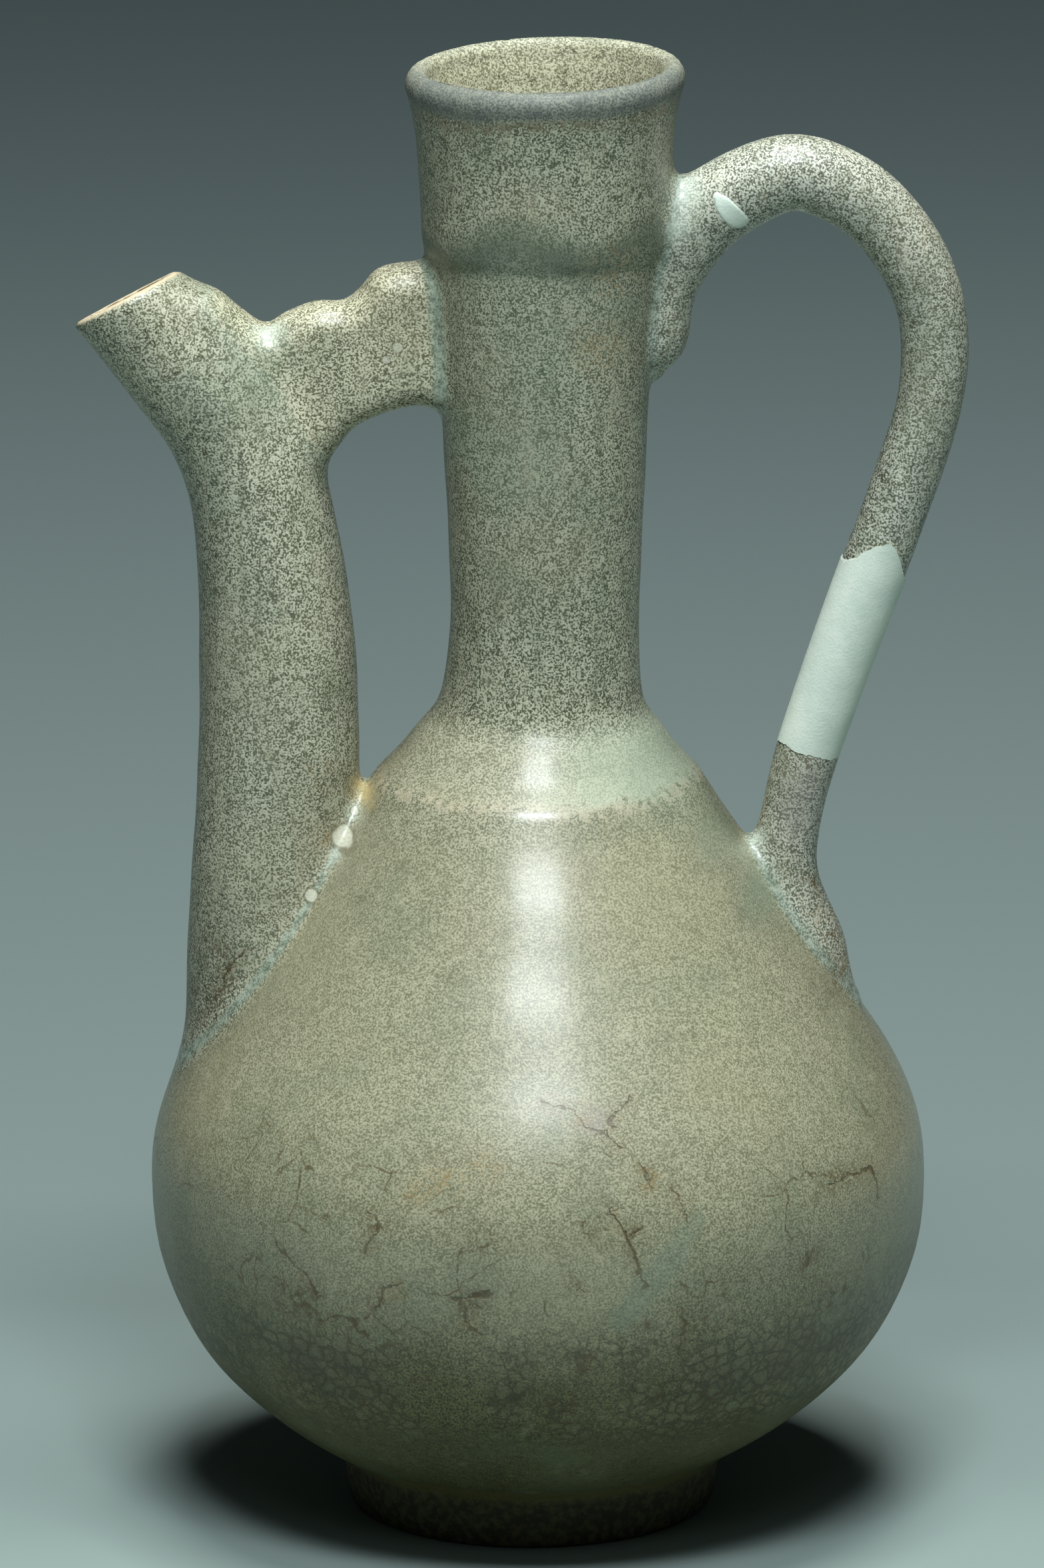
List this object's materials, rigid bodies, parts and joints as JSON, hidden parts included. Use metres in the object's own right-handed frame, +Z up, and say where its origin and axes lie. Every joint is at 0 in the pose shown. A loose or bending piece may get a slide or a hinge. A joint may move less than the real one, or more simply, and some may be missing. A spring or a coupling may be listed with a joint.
{
  "type": "ewer",
  "caption": "Glazed stoneware ewer: bulbous body on a foot ring, tall neck with a cup mouth, upright spout tied to the neck by a lobed bridge, and an arched loop handle with plaster fills.",
  "frame": {"origin": "on the ground under the middle of the object's whole width, from the spout's tip to the handle", "axes": "+Z up, +X towards the handle, -X towards the spout, +Y to the back"},
  "size_m": [0.1624, 0.142, 0.2708],
  "materials": {
    "celadon_glaze": "satin",
    "plaster": "matte"
  },
  "bodies": {
    "root": {"ewer": "celadon_glaze", "handle_plaster_infill": "plaster", "handle_plaster_chip": "plaster"}
  },
  "joints": []
}
